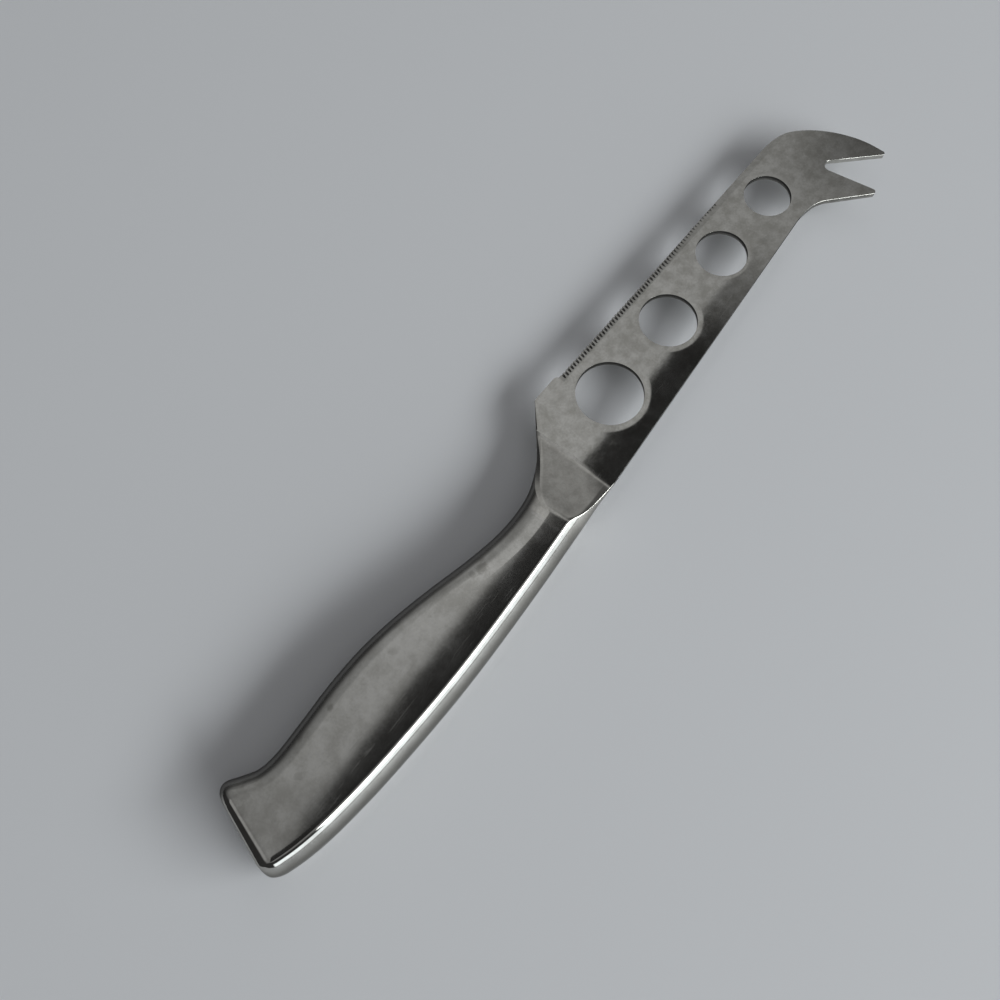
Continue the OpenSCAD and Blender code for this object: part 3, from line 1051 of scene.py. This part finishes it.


# Punched walls darkened, partly as rough cut steel and partly as painted shade, and the height of the face
# after the punch pulled it down round the holes
def shadedCutWalls(x, y, z, height, look):
    cuts = (y - spineAt(0) - x * spineSlope).rise(*look["spineReach"]) * x.rise(*look["spineEnd"])
    fork = x.rise(*look["forkStart"]) * x.rise(*look["forkEnd"]) * y.rise(*look["forkBelow"])
    cuts = cuts.most(fork * look["forkDepth"])
    holes = zip(holePlaces(), blade["holeRadii"], look["lipWidth"], look["lipSlope"])
    for centre, radius, width, slope in holes:
        away = ((x - centre) ** 2 + (y + blade["holeDepth"]) ** 2) ** 0.5 - radius
        lip = (width - away).most(0)
        height = height - lip * lip * (slope / (2 * width) * mm)
        cuts = cuts.most(away.rise(*look["holeReach"]))
    wall = z.size().rise(*(bladeThickness * share for share in look["wallShare"]))
    deep = look["wallDepth"]
    return cuts * wall * (z.rise(*look["wallRise"]) * deep + (1 - deep)), height


# Painted shade in the gullets: dark where the edge lies below the plane of the bevel
def gulletShade(x, y, z, look):
    inward = edgeAt(x) - y
    ground = (bladeThickness - blade["edgeLeft"]) / 2
    below = blade["edgeLeft"] / 2 + (inward * (ground / blade["bevel"])).least(ground) - z
    gullets = below.rise(*look["gulletReach"]) * inward.rise(*look["gulletInside"])
    gullets = gullets * z.rise(*look["gulletAbove"])
    return gullets * x.rise(toothStart - look["gulletLead"], toothStart) * look["gulletDepth"]


def steel(name, look):
    material = bpy.data.materials.new(name)
    material.use_nodes = True
    tree = material.node_tree
    surface = tree.nodes["Principled BSDF"]
    surface.inputs["Metallic"].default_value = 1
    surface.inputs["Specular Tint"].default_value = finish["edgeTint"]
    start = Signal(tree)
    spot = knifeSpot(start)
    x, y, z = (spot.part(axis) for axis in range(3))

    grain = spot.noise(finish["grain"], 2, 0.6)
    small, large = finish["blotchShares"]
    blotches = spot.noise(look["blotch"], 3, 0.6) * small
    blotches = blotches + spot.noise(look["blotch"] * 4, 2, 0.5, shift=2.2) * large
    blotches = blotches + (grain - 0.5) * finish["grainTone"]
    colour = blotches.rise(*finish["blotchRange"]).blend(look["dark"], look["light"])
    smudges = spot.noise(look["smudgeSize"], 5, 0.6, finish["smudgeStretch"], finish["smudgeTurn"], 3.7)
    rough = look["polish"] + smudges.rise(*finish["smudgeRange"]) * look["smudge"]
    rough = rough + (grain - 0.5) * finish["grainRoughness"]
    height = spot.noise(look["waveSize"], 1, 0.4, shift=9.1) * look["wave"]
    height = height + spot.noise(look["rippleSize"], 2, 0.5) * look["ripple"]

    for turn, shift in finish["scratchTurns"]:
        lines = spot.noise(finish["scratchSize"], 1, 0.5, finish["scratchStretch"], turn, shift)
        patches = spot.noise(finish["scratchPatch"], 1, 0.5, shift=shift * 2).rise(*finish["patchRange"])
        lines = lines.rise(*finish["scratchRange"]) * patches * look["scratch"]
        rough = rough + lines * finish["markRoughness"]
        colour = (lines * finish["scratchTone"]).blend(colour, look["light"])

    for placeX, placeY, reach, depth in look["stains"]:
        wobble = (spot.noise(finish["stainGrain"], 3, 0.6) - 0.5) * reach * finish["stainWobble"]
        away = ((x - placeX) ** 2 + (y - placeY) ** 2) ** 0.5 + wobble
        mark = away.rise(reach, reach * finish["stainCore"]) * depth
        colour = mark.blend(colour, look["stainAndShadeTone"])
        rough = rough + mark * finish["markRoughness"]

    if "seamShadeReach" in look:
        # Painted shade: the steel is darker and rougher towards the seam
        paintedSeamShade = z.size().rise(*look["seamShadeReach"]) * look["seamShadeDepth"] * x.rise(*look["seamShadeStart"])
        outward = start.put("ShaderNodeTexCoord", output=1).part(1)
        # Painted shade: darkest where the surface turns towards +Y, along the belly's rounding
        paintedRimShade = outward.rise(*look["rimShadeTurn"]) * look["rimShadeDepth"]
        colour = paintedRimShade.blend(paintedSeamShade.blend(colour, look["stainAndShadeTone"]), look["rimShadeTone"])
        rough = rough + paintedSeamShade * look["seamRoughness"] + paintedRimShade * look["rimRoughness"]

    if "cut" in look:
        cuts, height = shadedCutWalls(x, y, z, height, look)
        cuts = cuts.most(gulletShade(x, y, z, look))
        # The walls: rough cut steel with painted shade; the gullets: painted shade
        colour = cuts.blend(colour, look["cut"])
        rough = rough + (look["cutRoughness"] - rough) * cuts

    bump = start.put("ShaderNodeBump", None, {"Height": height, "Strength": 1, "Distance": 1})
    tree.links.new(colour.socket, surface.inputs["Base Color"])
    tree.links.new(rough.most(finish["leastRoughness"]).socket, surface.inputs["Roughness"])
    tree.links.new(bump.socket, surface.inputs["Normal"])
    return material


plateMaterial = steel("bladeSteel", bladeSteel)
bolsterMaterial = steel("bolsterSteel", bolsterSteel)
handleMaterial = steel("handleSteel", handleSteel)
weldMaterial = steel("weldSteel", weldSteel)
print("steel: four finishes are made")

pieces = {
    "blade": (sawEdge(bladePlate(plateMaterial), plateMaterial), "blade_steel"),
    "bolster": (bolsterBody(bolsterMaterial), "handle_steel"),
    "shell_upper": (handleShell("shellUpper", 1, handleMaterial), "handle_steel"),
    "shell_lower": (handleShell("shellLower", -1, handleMaterial), "handle_steel"),
    "blade_weld": (bladeWeld(weldMaterial), "weld_steel"),
    "neck_weld": (neckWeld(weldMaterial), "weld_steel"),
    "belly_weld": (sideWeld("bellyWeld", 0, weldMaterial), "weld_steel"),
    "spine_weld": (sideWeld("spineWeld", 1, weldMaterial), "weld_steel"),
    "butt_weld": (buttWeld(weldMaterial), "weld_steel"),
}
for node, (piece, slot) in pieces.items():
    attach(piece, "root")
    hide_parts(node)
print("pieces:", len(pieces), "ride on the root")
